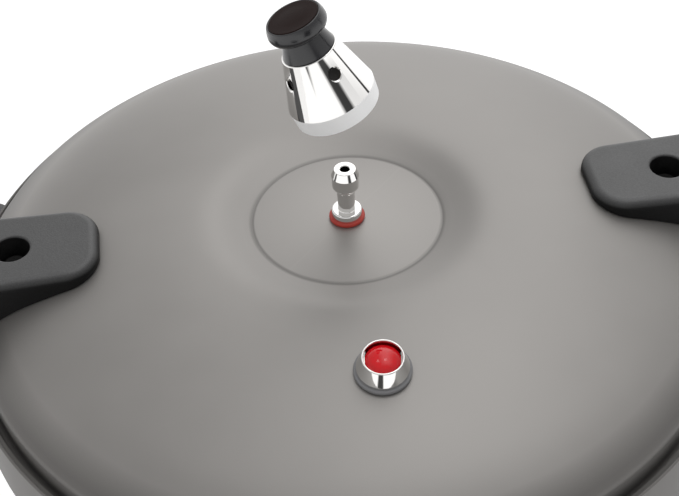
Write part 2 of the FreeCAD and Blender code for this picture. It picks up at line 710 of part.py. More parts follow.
def vent_filter():
    """Slotted cap on the pipe's lower end that keeps food out of the bore."""
    top = -LID_WALL - PIPE_WASHER_H - PIPE_NUT_H - 0.2
    low = top - FILTER_H
    inner = FILTER_R - FILTER_WALL
    cap = turned((0, low), [
        (FILTER_R - 1, low), (FILTER_R, low + 1), (FILTER_R, top), (PIPE_STEM_R + FIT, top),
        (PIPE_STEM_R + FIT, top - FILTER_WALL), (inner, top - FILTER_WALL), (inner, low + FILTER_WALL),
        (0, low + FILTER_WALL)])
    for k in range(3):
        slot = Part.makeBox(3 * FILTER_R, 1.6, FILTER_H - 4, V(-1.5 * FILTER_R, -0.8, low + 2))
        cap = cap.cut(around(slot, 60 * k))
    return moved(cap, 0, 0, LID_Z)


# ---- weight

def weight_place(shape):
    """From the weight's own axis to the stored place: above the pipe, leaning about its ball."""
    copy = moved(shape, 0, 0, -BALL_H)
    azimuth = math.radians(WEIGHT_LEAN_AZIMUTH)
    copy.rotate(V(0, 0, 0), V(-math.sin(azimuth), math.cos(azimuth), 0), WEIGHT_LEAN)
    ball = ball_rest()
    copy.translate(ball)
    return copy


def ball_seat_height():
    """Height of the ball's centre above the lid's datum when it closes the pipe's bore."""
    return PIPE_TOP + math.sqrt(BALL_R ** 2 - PIPE_BORE_R ** 2) + BALL_SEAT_GAP


def ball_rest():
    return V(-WEIGHT_ASIDE, 0, LID_Z + ball_seat_height() + WEIGHT_LIFT)


def weight_radius(height):
    """Outer radius of the skirt's cone."""
    share = (height - WEIGHT_WIDE_H) / (WEIGHT_TOP_H - WEIGHT_WIDE_H)
    return WEIGHT_WIDE_R + share * (WEIGHT_TOP_R - WEIGHT_WIDE_R)


def regulator_skirt():
    """Polished steel bell with four steam holes, closed on top around the core's neck."""
    shelf = WEIGHT_TOP_H - WEIGHT_WALL
    skirt = turned((WEIGHT_BOTTOM_R - WEIGHT_WALL, 0), [
        (WEIGHT_BOTTOM_R - 0.5, 0), (WEIGHT_BOTTOM_R, 0.5), (WEIGHT_WIDE_R, WEIGHT_WIDE_H),
        (WEIGHT_TOP_R, WEIGHT_TOP_H - 0.4), (WEIGHT_TOP_R - 0.4, WEIGHT_TOP_H),
        (CORE_NECK_R + FIT, WEIGHT_TOP_H), (CORE_NECK_R + FIT, shelf),
        (weight_radius(shelf) - WEIGHT_WALL, shelf), (WEIGHT_WIDE_R - WEIGHT_WALL, WEIGHT_WIDE_H)])
    for k in range(4):
        skirt = skirt.cut(around(steam_hole(), WEIGHT_HOLE_ANGLE + 90 * k))
    return weight_place(skirt)


def steam_hole():
    """Drill with a countersink at the skirt's surface, square to the cone."""
    outer = weight_radius(WEIGHT_HOLE_H)
    wide = WEIGHT_HOLE_R + WEIGHT_HOLE_BEVEL
    drill = turned((0, -6), [
        (WEIGHT_HOLE_R, -6), (WEIGHT_HOLE_R, 0.2 - WEIGHT_HOLE_BEVEL), (wide, 0.1), (wide, 3), (0, 3)])
    slope = math.degrees(math.atan((WEIGHT_WIDE_R - WEIGHT_TOP_R) / (WEIGHT_TOP_H - WEIGHT_WIDE_H)))
    drill.rotate(V(0, 0, 0), V(0, 1, 0), 90 - slope)
    return moved(drill, outer, 0, WEIGHT_HOLE_H)


def regulator_core():
    """Heavy core: a socket for the ball below, a neck through skirt and knob above."""
    socket = BALL_R + BALL_PLAY
    lip = BALL_H - CORE_LIP_DROP
    mouth = math.sqrt(socket ** 2 - CORE_LIP_DROP ** 2)
    shelf = WEIGHT_TOP_H - WEIGHT_WALL
    top = knob_low() + KNOB_H / 2 - 1
    core = turned((0, BALL_H + socket), [
        ((socket * math.sqrt(0.5), BALL_H + socket * math.sqrt(0.5)), (socket, BALL_H)),
        ((math.sqrt(socket ** 2 - CORE_LIP_DROP ** 2 / 4), BALL_H - CORE_LIP_DROP / 2), (mouth, lip)),
        (CORE_LIP_R, lip), (CORE_R, BALL_H + 4), (CORE_R, shelf), (CORE_NECK_R, shelf), (CORE_NECK_R, top),
        (KNOB_SCREW_R + FIT, top), (KNOB_SCREW_R + FIT, shelf + 3), (0, shelf + 3)])
    return weight_place(core)


def knob_low():
    return WEIGHT_TOP_H + FIT + COLLAR_H


def regulator_ball():
    """Steel ball that closes the vent pipe's bore."""
    ball = Part.makeSphere(BALL_R)
    ball.translate(ball_rest())
    return ball


def regulator_collar():
    """Black moulded collar between the skirt and the knob."""
    low = WEIGHT_TOP_H + FIT
    top = knob_low()
    collar = turned((CORE_NECK_R + FIT, low), [
        (COLLAR_BOTTOM_R, low), ((COLLAR_BOTTOM_R - 0.9, low + COLLAR_H / 2), (COLLAR_NECK_R, top)),
        (CORE_NECK_R + FIT, top)])
    return weight_place(collar)


def regulator_knob():
    """Round edged black knob with a shallow well for its disc."""
    low = knob_low() + FIT
    top = low + KNOB_H
    edge = KNOB_EDGE
    turn = edge * (1 - math.sqrt(0.5))
    well = top - KNOB_DISC_H
    seat = well - KNOB_SCREW_HEAD_H - 0.3
    neck_top = knob_low() + KNOB_H / 2 - 1 + FIT
    knob = turned((CORE_NECK_R + FIT, low), [
        (KNOB_R - edge, low), ((KNOB_R - turn, low + turn), (KNOB_R, low + edge)), (KNOB_R, top - edge + 1.2),
        ((KNOB_R - 0.5, top - 0.7), (KNOB_DISC_R + 0.3, top)),
        (KNOB_DISC_R + FIT, well), (KNOB_SCREW_HEAD_R + FIT, well), (KNOB_SCREW_HEAD_R + FIT, seat),
        (KNOB_SCREW_R + FIT, seat), (KNOB_SCREW_R + FIT, neck_top), (CORE_NECK_R + FIT, neck_top)])
    return weight_place(knob)


def regulator_screw():
    """Screw under the disc that draws the knob on to the core's neck."""
    head_top = knob_low() + FIT + KNOB_H - KNOB_DISC_H - 0.3
    head_low = head_top - KNOB_SCREW_HEAD_H
    screw = turned((0, WEIGHT_TOP_H + 3), [
        (KNOB_SCREW_R, WEIGHT_TOP_H + 3.5), (KNOB_SCREW_R, head_low), (KNOB_SCREW_HEAD_R, head_low),
        (KNOB_SCREW_HEAD_R, head_top - 0.5), (KNOB_SCREW_HEAD_R - 0.5, head_top), (0, head_top)])
    slot = Part.makeBox(2 * KNOB_SCREW_HEAD_R, 0.9, 1.0, V(-KNOB_SCREW_HEAD_R, -0.45, head_top - 0.9))
    return weight_place(screw.cut(slot))


def regulator_disc():
    """Glossy disc pressed into the knob's top."""
    low = knob_low() + FIT + KNOB_H - KNOB_DISC_H + FIT
    top = low + KNOB_DISC_H
    disc = turned((0, low), [
        (KNOB_DISC_R - 0.3, low), (KNOB_DISC_R, low + 0.3), (KNOB_DISC_R, top - 0.4),
        (KNOB_DISC_R - 0.4, top), cap(KNOB_DISC_R - 0.4, top, top + KNOB_DISC_CROWN)])
    return weight_place(disc)


# ---- pressure indicator

def on_indicator(shape):
    """From the indicator's own axis to its place, square to the lid's crown."""
    height, slope = crown_place(INDICATOR_R_POS)
    copy = shape.copy()
    copy.rotate(V(0, 0, 0), V(1, 0, 0), slope)
    copy.translate(V(0, -INDICATOR_R_POS, LID_Z + height))
    return copy


def indicator_gasket():
    return on_indicator(turned((IND_STEM_R + FIT, 0.02), [
        (IND_GASKET_R - 0.5, 0.02), ((IND_GASKET_R, IND_GASKET_H / 2), (IND_GASKET_R - 0.5, IND_GASKET_H)),
        (IND_STEM_R + FIT, IND_GASKET_H)]))


def indicator_housing():
    """Polished cone with an open top; its stem goes through the lid."""
    base = IND_GASKET_H
    housing = turned((FLOAT_PIN_R + 0.08, IND_STEM_LOW), [
        (IND_STEM_R - 0.4, IND_STEM_LOW), (IND_STEM_R, IND_STEM_LOW + 0.4), (IND_STEM_R, base),
        (IND_BASE_R, base), (IND_BASE_R, base + 0.8), (IND_TOP_R, IND_TOP - 0.4),
        ((IND_TOP_R - 0.35, IND_TOP), (IND_BORE_R, IND_TOP - 0.35)),
        (IND_BORE_R, IND_FLOOR), (FLOAT_PIN_R + 0.08, IND_FLOOR)])
    return on_indicator(housing)


def indicator_float():
    """Red float: a domed button that rises out of the housing under pressure."""
    low = IND_FLOOR + FLOAT_GAP
    return on_indicator(turned((FLOAT_PIN_R + FIT, low), [
        (FLOAT_R - 0.5, low), (FLOAT_R, low + 0.5), (FLOAT_R, FLOAT_SIDE),
        cap(FLOAT_R, FLOAT_SIDE, FLOAT_TOP), (0, FLOAT_SIDE + 0.5), (FLOAT_PIN_R + FIT, FLOAT_SIDE + 0.5)]))


def seal_top():
    return IND_STEM_LOW - FLOAT_TRAVEL - 0.3


def indicator_pin():
    """Steel pin from the float down to its seal."""
    low = seal_top() - SEAL_H - CLIP_H - 1.5
    return on_indicator(turned((0, low), [
        (FLOAT_PIN_R - 0.4, low), (FLOAT_PIN_R, low + 0.4), (FLOAT_PIN_R, FLOAT_SIDE + 0.45),
        (0, FLOAT_SIDE + 0.45)]))


def indicator_seal():
    """Silicone seal that meets the housing's stem when the float is up."""
    top = seal_top()
    return on_indicator(turned((FLOAT_PIN_R + FIT, top - SEAL_H), [
        (SEAL_R, top - SEAL_H), (SEAL_R, top - SEAL_H / 2), (SEAL_R - 0.9, top), (FLOAT_PIN_R + FIT, top)]))


def indicator_clip():
    """Spring clip under the seal, open on one side."""
    top = seal_top() - SEAL_H - FIT
    clip = ring(FLOAT_PIN_R + FIT, CLIP_R, top - CLIP_H, top)
    gap = Part.makeBox(CLIP_R + 1, 2.4, CLIP_H + 2, V(0, -1.2, top - CLIP_H - 1))
    return on_indicator(clip.cut(gap))


def indicator_washer():
    top = -LID_WALL - IND_WASHER_GAP
    return on_indicator(ring(IND_STEM_R + FIT, IND_WASHER_R, top - IND_WASHER_H, top))


def indicator_nut():
    top = -LID_WALL - IND_WASHER_GAP - IND_WASHER_H
    return on_indicator(hexagon(IND_NUT_FLATS, top - IND_NUT_H, top, IND_STEM_R + FIT))


# ---- export

NODES = {
    "pot_body": pot_body,
    "pot_bracket_right": lambda: pot_bracket(POT_HANDLE_ANGLES[0]),
    "pot_bracket_left": lambda: pot_bracket(POT_HANDLE_ANGLES[1]),
    "pot_handle_right": lambda: pot_handle(POT_HANDLE_ANGLES[0]),
    "pot_handle_left": lambda: pot_handle(POT_HANDLE_ANGLES[1]),
    "pot_handle_screws": pot_handle_screw_set,
    "pot_rivets": pot_rivet_set,
    "canning_rack": canning_rack,
    "sealing_ring": sealing_ring,
    "lid_shell": lid_shell,
    "lid_handle_right": lambda: lid_handle(0),
    "lid_handle_left": lambda: lid_handle(180),
    "lid_handle_studs": lid_stud_set,
    "lid_handle_nuts": lid_nut_set,
    "lid_handle_washers": lid_washer_set,
    "vent_gasket": vent_gasket,
    "vent_pipe": vent_pipe,
    "vent_washer": vent_washer,
    "vent_nut": vent_nut,
    "vent_filter": vent_filter,
    "regulator_skirt": regulator_skirt,
    "regulator_core": regulator_core,
    "regulator_ball": regulator_ball,
    "regulator_collar": regulator_collar,
    "regulator_knob": regulator_knob,
    "regulator_screw": regulator_screw,
    "regulator_disc": regulator_disc,
    "indicator_gasket": indicator_gasket,
    "indicator_housing": indicator_housing,
    "indicator_float": indicator_float,
    "indicator_pin": indicator_pin,
    "indicator_seal": indicator_seal,
    "indicator_clip": indicator_clip,
    "indicator_washer": indicator_washer,
    "indicator_nut": indicator_nut,
}

os.makedirs("parts", exist_ok=True)
for name, make in NODES.items():
    shape = make()
    shape.exportStep("parts/" + name + ".step")
    state = "valid" if shape.isValid() else "INVALID"
    print(name, state, len(shape.Solids), round(shape.Volume / 1000, 3), "cm3")

BALL = ball_rest()
SEAT = V(0, 0, LID_Z + ball_seat_height())
HEIGHT, SLOPE = crown_place(INDICATOR_R_POS)
print("lid datum", LID_Z)
print("ball at rest", BALL, "seated", SEAT, "apart", BALL.sub(SEAT).Length)
print("indicator height", LID_Z + HEIGHT, "slope", SLOPE)
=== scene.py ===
import json
import math
from types import SimpleNamespace

import bpy
from bpy.props import FloatProperty, FloatVectorProperty, PointerProperty
from mathutils import Matrix, Quaternion, Vector


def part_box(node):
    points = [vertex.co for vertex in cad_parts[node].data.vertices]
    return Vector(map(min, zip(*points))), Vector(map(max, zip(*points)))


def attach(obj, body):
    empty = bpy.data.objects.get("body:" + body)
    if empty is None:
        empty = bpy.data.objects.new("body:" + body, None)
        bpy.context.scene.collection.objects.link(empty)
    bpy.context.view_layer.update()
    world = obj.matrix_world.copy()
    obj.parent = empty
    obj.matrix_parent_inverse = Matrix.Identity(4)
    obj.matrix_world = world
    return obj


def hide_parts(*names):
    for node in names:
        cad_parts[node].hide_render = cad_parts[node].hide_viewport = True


# Pressure canner: pot, bayonet lid, handles, vent pipe with its weight, pressure indicator.
# Metres, in the frame of the packed model: +Z up the pot's axis, the lid handles along X.

bl_info = {
    "name": "Pressure canner",
    "version": (1, 0, 0),
    "blender": (4, 5, 0),
    "location": "3D View > Sidebar > Canner",
    "description": "Models and finishes a stovetop pressure canner round its packed frame",
    "category": "Add Mesh",
}

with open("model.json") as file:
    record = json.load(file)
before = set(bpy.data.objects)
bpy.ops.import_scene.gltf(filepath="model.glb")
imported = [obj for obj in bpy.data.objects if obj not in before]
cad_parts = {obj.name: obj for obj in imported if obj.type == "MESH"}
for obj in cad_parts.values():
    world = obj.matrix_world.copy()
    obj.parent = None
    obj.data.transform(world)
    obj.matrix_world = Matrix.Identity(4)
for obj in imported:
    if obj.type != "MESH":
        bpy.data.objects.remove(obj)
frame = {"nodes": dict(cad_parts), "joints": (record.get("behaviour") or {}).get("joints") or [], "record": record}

MM = 0.001
TURN = 2 * math.pi
MERGE = 0.002 * MM
# Gaps between mating pieces, in millimetres: round a shaft or over a joint, and under a gasket.
FIT = 0.05
LIFT = 0.02
JOINTS = {joint["name"]: joint for joint in frame["joints"]}
BODY_OF = {node: body for body, nodes in frame["record"]["behaviour"]["bodies"].items() for node in nodes}
SLOT_OF = {part["node"]: part["material_slot"] for part in frame["record"]["subparts"]}
LID_Z = JOINTS["lid_turn"]["pos_m"][2]
BALL = Vector(JOINTS["regulator_tilt"]["pos_m"])
LEAN_AXIS = Vector(JOINTS["regulator_tilt"]["axis"])
POT_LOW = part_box("pot_body")[0]
LID_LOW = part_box("lid_shell")[0]


# ---- sizes and colours to change

def length(name, description, default):
    return FloatProperty(name=name, description=description, default=default, min=0.0, unit="LENGTH",
                         precision=5)


def degrees(name, description, default):
    return FloatProperty(name=name, description=description, default=math.radians(default),
                         unit="ROTATION")


def colour(name, description, default):
    return FloatVectorProperty(name=name, description=description, default=default, size=3,
                               min=0.0, max=1.0, subtype="COLOR")


class CannerFinishes(bpy.types.PropertyGroup):
    """Colours of the canner's finishes."""
    anodised: colour("Anodised", "Hard anodised aluminium of pot and lid", (0.275, 0.264, 0.253))
    moulding: colour("Moulding", "Black phenolic of the four handles", (0.020, 0.020, 0.0205))
    knob: colour("Knob", "Moulded collar and knob of the weight", (0.011, 0.011, 0.013))
    float_red: colour("Float", "Red button of the pressure indicator", (0.60, 0.003, 0.008))
    silicone: colour("Silicone", "Red gasket under the vent pipe", (0.42, 0.035, 0.022))


class CannerLid(bpy.types.PropertyGroup):
    """Lid: radii from its axis, depths below its recess floor."""
    wall: length("Wall", "Thickness of the domed top", 0.0035)
    edge_radius: length("Edge radius", "Where the dome turns down into the trough", 0.165)
    trough_width: length("Trough width", "Gap between the dome's wall and the skirt", 0.0034)
    trough_depth: length("Trough depth", "Bottom of the trough", 0.0355)
    lip_drop: length("Lip drop", "Top of the skirt's lip", 0.0284)
    channel_roof: length("Channel roof", "Roof of the sealing ring's channel", 0.0237)
    channel_width: length("Channel width", "Width of the sealing ring's channel", 0.0114)
    rib_drop: length("Rib drop", "Bottom of the rib inside the channel", 0.0300)


class CannerVent(bpy.types.PropertyGroup):
    """Vent pipe: radii from its axis, heights above the recess floor."""
    bore: length("Bore radius", "Steam passage", 0.00205)
    collar_radius: length("Collar radius", "Collar on the gasket", 0.0066)
    collar_top: length("Collar top", "Top of the collar", 0.0052)
    neck_radius: length("Neck radius", "Waist between collar and head", 0.0039)
    neck_top: length("Neck top", "Where the neck meets the head", 0.0166)
    head_radius: length("Head radius", "Round head", 0.0059)
    head_low: length("Head low", "Start of the straight head", 0.0186)
    head_high: length("Head high", "Start of the coned top", 0.0236)
    top_radius: length("Top radius", "Flat ring that the weight's ball closes", 0.0047)
    top: length("Top", "Overall height", 0.0270)
    gasket_radius: length("Gasket radius", "Red gasket under the collar", 0.00775)
    gasket_height: length("Gasket height", "Red gasket under the collar", 0.0020)


class CannerWeight(bpy.types.PropertyGroup):
    """Weight: radii from its axis, heights above its lower edge."""
    bottom_radius: length("Bottom radius", "Lower edge of the bell", 0.0179)
    wide_radius: length("Wide radius", "Where the satin band meets the cone", 0.0185)
    wide_height: length("Wide height", "Top of the satin band", 0.0077)
    top_radius: length("Top radius", "Top edge of the cone", 0.0116)
    top_height: length("Top height", "Top edge of the cone", 0.0303)
    wall: length("Wall", "Thickness of the bell", 0.0016)
    hole_radius: length("Hole radius", "Steam holes", 0.0026)
    hole_height: length("Hole height", "Middle of the steam holes", 0.0224)
    ball_height: length("Ball height", "Centre of the ball", 0.0200)
    collar_low_radius: length("Collar low radius", "Moulded collar at the bell", 0.0109)
    collar_high_radius: length("Collar high radius", "Moulded collar at the knob", 0.0081)
    collar_height: length("Collar height", "Moulded collar", 0.0080)
    knob_radius: length("Knob radius", "Round edged knob", 0.0124)
    knob_height: length("Knob height", "Round edged knob", 0.0074)
    disc_radius: length("Disc radius", "Glossy disc in the knob", 0.0105)


class CannerIndicator(bpy.types.PropertyGroup):
    """Pressure indicator: radii from its axis, heights above the lid."""
    place_radius: length("Place radius", "Distance from the lid's axis", 0.0942)
    gasket_radius: length("Gasket radius", "Grey gasket", 0.0114)
    gasket_height: length("Gasket height", "Grey gasket", 0.0022)
    base_radius: length("Base radius", "Foot of the polished cone", 0.0104)
    top_radius: length("Top radius", "Rim of the polished cone", 0.0083)
    top: length("Top", "Rim of the polished cone", 0.0096)
    bore_radius: length("Bore radius", "Well that the float stands in", 0.00755)
    floor: length("Floor", "Floor of the well", 0.0032)
    float_radius: length("Float radius", "Red button", 0.00695)
    float_side: length("Float side", "Where the button's dome starts", 0.0076)
    float_top: length("Float top", "Top of the red button", 0.0102)
    pin_radius: length("Pin radius", "Pin under the button", 0.0018)


class CannerStage(bpy.types.PropertyGroup):
    """Camera and light."""
    camera_place: FloatVectorProperty(name="Camera place", description="Where the camera stands",
                                      default=(-0.05035, -0.44222, 0.70768), unit="LENGTH")
    camera_aim: FloatVectorProperty(name="Camera aim", description="Point on the lid that the lens points at",
                                    default=(0.00221, -0.02080, 0.31430), unit="LENGTH")
    camera_roll: degrees("Camera roll", "Turn of the camera about its line of sight", -2.51)
    lens: FloatProperty(name="Lens", description="Focal length on a 36 mm frame", default=72.39,
                        unit="CAMERA")
    shift: FloatProperty(name="Shift", description="Sideways lens shift, as a share of the frame",
                         default=-0.0295)
    studio: FloatProperty(name="Studio", description="Strength of the white surroundings",
                          default=1.30, min=0.0)
    dim: FloatProperty(name="Dim side", description="Level of the surroundings beside the soft box",
                       default=0.48, min=0.0)
    key: FloatProperty(name="Key", description="Power of each soft light", default=0.6, min=0.0,
                       unit="POWER")


# ---- modelling helpers: outlines are in millimetres, pieces in metres

def in_mm(group):
    """The lengths of a property group, in millimetres."""
    return SimpleNamespace(**{name: getattr(group, name) / MM for name in group.__annotations__})


def activate(piece):
    bpy.ops.object.select_all(action="DESELECT")
    piece.select_set(True)
    bpy.context.view_layer.objects.active = piece


def leave_edit():
    bpy.ops.object.mode_set(mode="OBJECT")


def arc(start, middle, end, step=math.radians(7)):
    """Points after start on the circle through three points, no further apart than step."""
    (ax, ay), (bx, by), (cx, cy) = start, middle, end
    d = 2 * (ax * (by - cy) + bx * (cy - ay) + cx * (ay - by))
    a2, b2, c2 = ax * ax + ay * ay, bx * bx + by * by, cx * cx + cy * cy
    ux = (a2 * (by - cy) + b2 * (cy - ay) + c2 * (ay - by)) / d
    uy = (a2 * (cx - bx) + b2 * (ax - cx) + c2 * (bx - ax)) / d
    radius = math.hypot(ax - ux, ay - uy)
    first = math.atan2(ay - uy, ax - ux)
    through = (math.atan2(by - uy, bx - ux) - first) % TURN
    sweep = (math.atan2(cy - uy, cx - ux) - first) % TURN
    if through > sweep:
        sweep -= TURN
    count = max(2, math.ceil(abs(sweep) / step))
    angles = [first + sweep * k / count for k in range(1, count)]
    return [(ux + radius * math.cos(a), uy + radius * math.sin(a)) for a in angles] + [end]


def line(start, *steps):
    """Outline as points (radius, height): a step is an end, or (middle, end) of an arc."""
    points = [start]
    for step in steps:
        if isinstance(step[0], tuple):
            points += arc(points[-1], *step)
        else:
            points.append(step)
    return points


def on_lid(points):
    """Outline with its heights taken from the lid's recess floor."""
    return [(radius, height + LID_Z / MM) for radius, height in points]


def draw(name, points):
    """Chain of edges in the XZ plane, extruded point by point from one vertex."""
    bpy.ops.object.select_all(action="DESELECT")
    bpy.ops.mesh.primitive_plane_add(size=MM, location=(points[0][0] * MM, 0, points[0][1] * MM))
    piece = bpy.context.object
    piece.name = name
    piece.data.name = name
    bpy.ops.object.transform_apply(location=True, rotation=True, scale=True)
    bpy.ops.object.mode_set(mode="EDIT")
    bpy.ops.mesh.merge(type="CENTER")
    for (r0, z0), (r1, z1) in zip(points, points[1:]):
        step = ((r1 - r0) * MM, 0, (z1 - z0) * MM)
        bpy.ops.mesh.extrude_vertices_move(TRANSFORM_OT_translate={"value": step})
    return piece


def smooth(piece, angle=28):
    activate(piece)
    bpy.ops.object.shade_smooth_by_angle(angle=math.radians(angle))


def lathe(name, points, segments=96, closed=True, crease=28):
    """Outline spun once about Z. A closed outline joins its last point to its first."""
    piece = draw(name, points + points[:1] if closed else points)
    bpy.ops.mesh.select_all(action="SELECT")
    bpy.ops.mesh.spin(steps=segments, angle=TURN, center=(0, 0, 0), axis=(0, 0, 1))
    bpy.ops.mesh.select_all(action="SELECT")
    bpy.ops.mesh.remove_doubles(threshold=MERGE)
    bpy.ops.mesh.normals_make_consistent(inside=False)
    leave_edit()
    smooth(piece, crease)
    return piece


def sector(name, inner, outer, low, high, middle, span):
    """Block that follows a ring: a rectangle spun through span radians about Z."""
    piece = draw(name, [(inner, low), (outer, low), (outer, high), (inner, high), (inner, low)])
    bpy.ops.mesh.select_all(action="SELECT")
    bpy.ops.mesh.remove_doubles(threshold=MERGE)
    bpy.ops.mesh.edge_face_add()
    bpy.ops.mesh.spin(steps=12, angle=span, center=(0, 0, 0), axis=(0, 0, 1))
    bpy.ops.mesh.select_all(action="SELECT")
    bpy.ops.mesh.normals_make_consistent(inside=False)
    leave_edit()
    place(piece, Matrix.Rotation(middle - span / 2, 4, "Z"))
    return piece


def place(piece, matrix):
    """Moves a finished mesh and applies the move."""
    activate(piece)
    piece.matrix_world = matrix @ piece.matrix_world
    bpy.ops.object.transform_apply(location=True, rotation=True, scale=True)


def apply(piece, kind, **settings):
    """Adds a modifier and applies it."""
    activate(piece)
    bpy.ops.object.modifier_add(type=kind)
    modifier = piece.modifiers[-1]
    for key, value in settings.items():
        setattr(modifier, key, value)
    bpy.ops.object.modifier_apply(modifier=modifier.name)


def cut(piece, tool, operation="DIFFERENCE"):
    """Boolean with a tool that is used up."""
    apply(piece, "BOOLEAN", object=tool, operation=operation, solver="EXACT")
    bpy.data.objects.remove(tool)


def join(pieces):
    activate(pieces[0])
    for piece in pieces[1:]:
        piece.select_set(True)
    bpy.ops.object.join()
    return pieces[0]


def copies(piece, matrices):
    """The piece and a copy of it, with its own mesh, for each matrix."""
    made = [piece]
    for matrix in matrices:
        twin = piece.copy()
        twin.data = piece.data.copy()
        bpy.context.scene.collection.objects.link(twin)
        place(twin, matrix)
        made.append(twin)
    return made


def finish_piece(piece, node, *materials):
    """Gives a piece its materials and puts it in the place of a node of the frame."""
    for name in materials:
        piece.data.materials.append(finish(name))
    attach(piece, BODY_OF[node])
    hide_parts(node)


# ---- materials

def finish(name):
    """The finish of that name, as new_finish made it."""
    return bpy.data.materials["canner_" + name]


def new_finish(name, **sockets):
    """A material and its shader, with constant values on the shader's own sockets."""
    material = bpy.data.materials.new("canner_" + name)
    material.use_nodes = True
    tree = material.node_tree
    shader = tree.nodes["Principled BSDF"]
    for socket, value in sockets.items():
        shader.inputs[socket.replace("_", " ")].default_value = value
    return tree, shader


def node(tree, kind, values, **settings):
    """Adds a node: values are numbers or the sockets that feed its inputs."""
    made = tree.nodes.new("ShaderNode" + kind)
    for key, value in settings.items():
        setattr(made, key, value)
    for socket, value in values.items():
        if isinstance(value, bpy.types.NodeSocket):
            tree.links.new(value, made.inputs[socket])
        else:
            made.inputs[socket].default_value = value
    return made


def object_coords(tree):
    return tree.nodes.new("ShaderNodeTexCoord").outputs["Object"]


def noise(tree, coords, scale, detail=2.0, roughness=0.5):
    values = {"Vector": coords, "Scale": scale, "Detail": detail, "Roughness": roughness}
    return node(tree, "TexNoise", values).outputs["Fac"]


def ranged(tree, value, low, high, out_low, out_high):
    values = {"Value": value, "From Min": low, "From Max": high, "To Min": out_low, "To Max": out_high}
    return node(tree, "MapRange", values).outputs["Result"]


def blended(tree, share, first, second):
    """Mix of two colours, each a tuple or the socket of a colour."""
    values = {"Factor": share}
    for socket, rgb in (("A", first), ("B", second)):
        values[socket] = (*rgb, 1) if isinstance(rgb, tuple) else rgb
    return node(tree, "Mix", values, data_type="RGBA").outputs["Result"]


def spread(tree, pattern, low, high):
    """The middle of a noise pattern spread over a range."""
    return ranged(tree, pattern, 0.3, 0.7, low, high)


def bumped(tree, height, distance, strength):
    values = {"Height": height, "Distance": distance, "Strength": strength}
    return node(tree, "Bump", values).outputs["Normal"]


def maths(tree, operation, first, second=0.0):
    return node(tree, "Math", {0: first, 1: second}, operation=operation).outputs["Value"]


def distance_from(tree, value, middle):
    return maths(tree, "ABSOLUTE", maths(tree, "ADD", value, -middle))


def shade(rgb, factor):
    return tuple(min(1.0, channel * factor) for channel in rgb)


# The anodising is duller and darker between these depths below the recess floor and down from there; between these
# radii towards the dome's edge its colour is darkened as painted shade on the shoulder. All in millimetres.
LOW_START, LOW_END = 18.0, 24.0
RIM_START, RIM_END = 151.0, 162.0


def anodised_finish(rgb):
    """Hard anodised casting: satin, faintly clouded, with a fine etched grain, and darkened as painted shade at
    the recess crease and towards the dome's edge.
    """
    tree, shader = new_finish("anodised")
    coords = object_coords(tree)
    cloud = noise(tree, coords, 14.0, 3.0)
    grain = noise(tree, coords, 1500.0, 2.0, 0.6)
    edge = node(tree, "NewGeometry", {}).outputs["Pointiness"]
    wear = ranged(tree, edge, 0.52, 0.60, 0.0, 0.35)
    base = blended(tree, spread(tree, cloud, 0.0, 1.0), shade(rgb, 0.94), shade(rgb, 1.06))
    base = blended(tree, wear, base, shade(rgb, 1.7))
    apart = node(tree, "SeparateXYZ", {"Vector": coords}).outputs
    radius = node(tree, "CombineXYZ", {"X": apart["X"], "Y": apart["Y"]}).outputs["Vector"]
    radius = node(tree, "VectorMath", {0: radius}, operation="LENGTH").outputs["Value"]
    # Painted shade: a darker band of colour along the recess crease.
    away = distance_from(tree, radius, (DOME[0][0] + 0.2) * MM)
    painted_shade = ranged(tree, away, 0.2 * MM, 1.4 * MM, 0.5, 0.0)
    low = ranged(tree, apart["Z"], LID_Z - LOW_END * MM, LID_Z - LOW_START * MM, 1.0, 0.0)
    # Painted shade on the shoulder: the colour darkens towards the dome's edge.
    rim = ranged(tree, radius, RIM_START * MM, RIM_END * MM, 0.0, 0.75)
    painted_shade = maths(tree, "MAXIMUM", painted_shade, rim)
    tree.links.new(ranged(tree, low, 0.0, 1.0, 0.72, 0.30), shader.inputs["Metallic"])
    tree.links.new(ranged(tree, low, 0.0, 1.0, 0.30, 0.08), shader.inputs["Specular IOR Level"])
    tree.links.new(blended(tree, painted_shade, base, shade(rgb, 0.35)), shader.inputs["Base Color"])
    tree.links.new(spread(tree, cloud, 0.44, 0.49), shader.inputs["Roughness"])
    tree.links.new(bumped(tree, grain, 0.00003, 0.6), shader.inputs["Normal"])


def moulding_finish(rgb):
    """Black phenolic with the fine leather grain of its mould, painted lighter grey and glossier on its upward
    faces as light from above.
    """
    tree, shader = new_finish("moulding")
    coords = object_coords(tree)
    grain = noise(tree, coords, 1700.0, 3.0, 0.55)
    cloud = noise(tree, coords, 25.0, 2.0)
    normal = node(tree, "NewGeometry", {}).outputs["Normal"]
    facing_up = node(tree, "SeparateXYZ", {"Vector": normal}).outputs["Z"]
    # Painted light from above: upward faces get a lighter grey and more specular, and the sides stay black as
    # painted shade.
    lit_top = ranged(tree, facing_up, 0.25, 0.90, 0.0, 1.0)
    speckle = ranged(tree, grain, 0.35, 0.65, 0.0, 1.0)
    black = blended(tree, speckle, shade(rgb, 0.2), shade(rgb, 0.35))
    grey = blended(tree, speckle, shade(rgb, 0.9), shade(rgb, 1.7))
    tree.links.new(blended(tree, lit_top, black, grey), shader.inputs["Base Color"])
    tree.links.new(ranged(tree, lit_top, 0.0, 1.0, 0.15, 0.85), shader.inputs["Specular IOR Level"])
    tree.links.new(spread(tree, cloud, 0.44, 0.54), shader.inputs["Roughness"])
    tree.links.new(bumped(tree, grain, 0.00012, 0.7), shader.inputs["Normal"])


